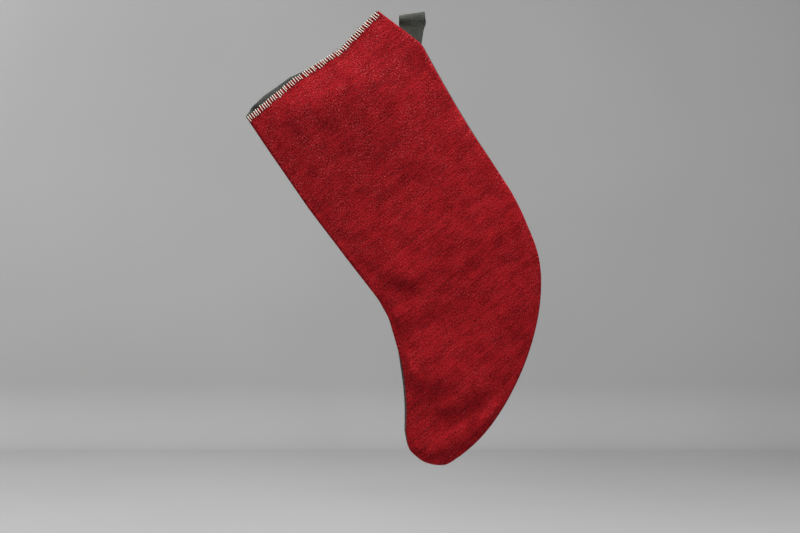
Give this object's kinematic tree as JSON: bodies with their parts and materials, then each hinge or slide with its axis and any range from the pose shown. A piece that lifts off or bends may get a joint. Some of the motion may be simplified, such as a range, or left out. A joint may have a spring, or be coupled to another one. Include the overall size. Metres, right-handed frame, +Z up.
{
  "type": "hanging stocking",
  "caption": "Flat unlined hanging stocking: heavy woven wool front, canvas back, overlocked open mouth and a folded tape hanging loop in the heel-side seam.",
  "frame": {"origin": "inner top of the hanging loop's eye, in the middle of the tape's width, where a line or hook carries the stocking", "axes": "+X towards the heel side, +Y towards the canvas back (the wool front faces -Y), +Z up as it hangs"},
  "size_m": [0.2938, 0.0256, 0.4544],
  "materials": {
    "wool_front": "matt flat-woven wool, dark red with a few lighter fibres",
    "canvas": "matt plain-weave cotton canvas, charcoal",
    "loop_tape": "matt folded canvas tape, charcoal",
    "cream_thread": "soft spun overlock thread, cream",
    "grey_thread": "spun sewing thread, dark grey"
  },
  "bodies": {
    "loop": {"hanging_loop": "loop_tape", "loop_needle_thread": "grey_thread", "loop_bobbin_thread": "grey_thread"},
    "stocking": {"front_panel": "wool_front", "back_panel": "canvas", "mouth_overlock": "cream_thread", "front_edge_overlock": "cream_thread", "back_edge_overlock": "cream_thread", "seam_needle_thread": "grey_thread", "seam_bobbin_thread": "grey_thread", "hem_needle_thread": "grey_thread", "hem_bobbin_thread": "grey_thread", "loop_tails": "loop_tape"}
  },
  "joints": [
    {"name": "loop_bend", "type": "hinge", "parent": "loop", "child": "stocking", "pos_m": [0.0013, 0, -0.01815], "axis": [0.793, 0, -0.6092], "range_deg": [-90, 90]}
  ]
}
